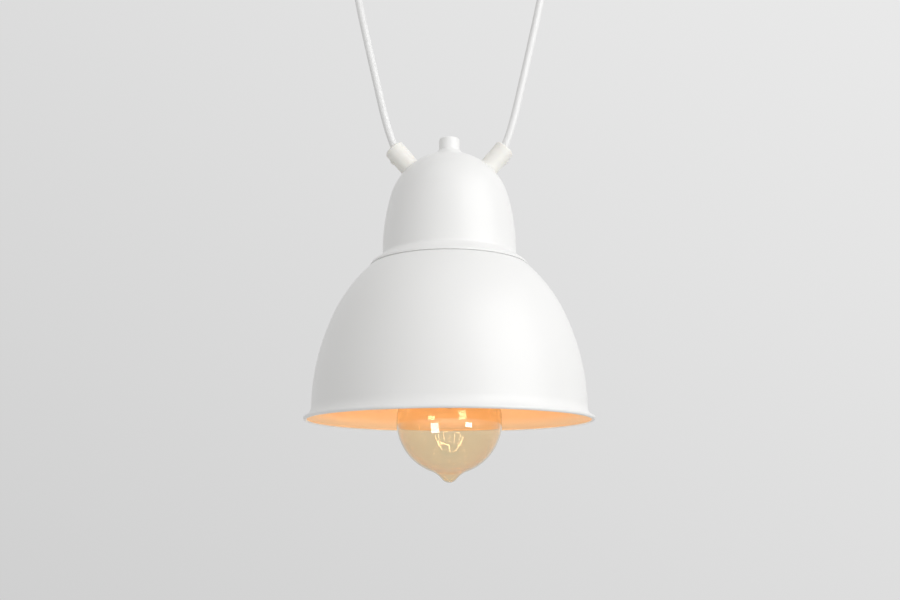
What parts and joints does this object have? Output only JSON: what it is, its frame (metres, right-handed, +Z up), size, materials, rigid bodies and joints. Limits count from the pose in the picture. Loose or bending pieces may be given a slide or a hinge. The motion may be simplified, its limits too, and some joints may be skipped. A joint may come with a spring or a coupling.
{
  "type": "rise and fall pendant",
  "caption": "Spun bell pendant hung in a V on cords with screw-clamped grips: it rises and falls, swings, and holds a globe bulb.",
  "frame": {"origin": "middle of the ceiling fitting's back, on the ceiling plane", "axes": "+Z up into the ceiling, X along the two cords, Y across them"},
  "size_m": [0.26, 0.26, 0.538],
  "materials": {
    "amber_glass": "clear amber glass",
    "black_resin": "matte moulded resin",
    "brass": "turned brass",
    "ceramic": "unglazed ceramic",
    "clear_glass": "clear glass",
    "clear_resin": "translucent nylon",
    "core_blue": "core insulation",
    "core_brown": "core insulation",
    "core_green_yellow": "core insulation",
    "filament": "glowing coiled wire",
    "ivory_nylon": "matte moulded nylon",
    "white_cord": "smooth round sheath",
    "white_powder": "satin white powder coat",
    "white_steel": "satin white powder coat",
    "zinc_steel": "zinc plated"
  },
  "bodies": {
    "ceiling": {"ceiling_canopy": "white_steel", "mounting_bracket": "zinc_steel", "canopy_screw_left": "white_steel", "canopy_screw_right": "white_steel", "terminal_block": "clear_resin", "terminal_screw_near": "zinc_steel", "terminal_screw_middle": "zinc_steel", "terminal_screw_far": "zinc_steel", "ceiling_grip_left": "ivory_nylon", "ceiling_grip_right": "ivory_nylon", "ceiling_grip_nut_left": "zinc_steel", "ceiling_grip_nut_right": "zinc_steel", "ceiling_cord_end_left": "white_cord", "ceiling_cord_end_right": "white_cord", "ceiling_core_brown": "core_brown", "ceiling_core_blue": "core_blue", "ceiling_core_green_yellow": "core_green_yellow"},
    "ceiling_screw_left": {"ceiling_grip_screw_left": "ivory_nylon"},
    "ceiling_screw_right": {"ceiling_grip_screw_right": "ivory_nylon"},
    "sling": {"cord_left": "white_cord", "cord_right": "white_cord"},
    "head": {"cap_dome": "white_powder", "lampshade": "white_powder", "finial_collar": "white_powder", "threaded_tube": "zinc_steel", "shade_washer": "zinc_steel", "nut_under_shade": "zinc_steel", "nut_over_shade": "zinc_steel", "nut_under_dome": "zinc_steel", "head_grip_left": "ivory_nylon", "head_grip_right": "ivory_nylon", "head_grip_nut_left": "zinc_steel", "head_grip_nut_right": "zinc_steel", "head_cord_end_left": "white_cord", "head_cord_end_right": "white_cord", "head_core_brown": "core_brown", "head_core_blue": "core_blue", "head_core_green_yellow": "core_green_yellow", "lampholder_skirt": "black_resin", "lampholder_cap": "black_resin", "lampholder_insert": "ceramic", "thread_shell": "brass", "centre_contact": "brass"},
    "knob": {"finial": "white_powder"},
    "head_screw_left": {"head_grip_screw_left": "ivory_nylon"},
    "head_screw_right": {"head_grip_screw_right": "ivory_nylon"},
    "bulb": {"bulb_glass": "amber_glass", "bulb_base": "brass", "bulb_insulator": "black_resin", "bulb_contact": "brass", "bulb_stem": "clear_glass", "filament": "filament", "filament_supports": "zinc_steel"}
  },
  "joints": [
    {"name": "swing", "type": "hinge", "parent": "ceiling", "child": "sling", "pos_m": [0, 0, -0.044], "axis": [1, 0, 0], "range_deg": [-20, 20]},
    {"name": "rise_and_fall", "type": "slide", "parent": "sling", "child": "head", "axis": [0, 0, 1], "range_m": [0, 0.1], "deforming": ["cord_left", "cord_right"]},
    {"name": "bulb_unscrew", "type": "slide", "parent": "head", "child": "bulb", "axis": [0, 0, -1], "range_m": [0, 0.03]},
    {"name": "knob_turn", "type": "hinge", "parent": "head", "child": "knob", "pos_m": [0, 0, -0.224], "axis": [0, 0, 1], "range_deg": [0, 360]},
    {"name": "head_screw_right_turn", "type": "hinge", "parent": "head", "child": "head_screw_right", "pos_m": [0.0466, 0, -0.23346], "axis": [0.766, 0, -0.6428], "range_deg": [0, 360]},
    {"name": "head_screw_left_turn", "type": "hinge", "parent": "head", "child": "head_screw_left", "pos_m": [-0.0466, 0, -0.23346], "axis": [-0.766, 0, -0.6428], "range_deg": [0, 360]},
    {"name": "ceiling_screw_right_turn", "type": "hinge", "parent": "ceiling", "child": "ceiling_screw_right", "pos_m": [0.0919, 0, -0.0415], "axis": [1, 0, 0], "range_deg": [0, 360]},
    {"name": "ceiling_screw_left_turn", "type": "hinge", "parent": "ceiling", "child": "ceiling_screw_left", "pos_m": [-0.0919, 0, -0.0415], "axis": [-1, 0, 0], "range_deg": [0, 360]}
  ]
}
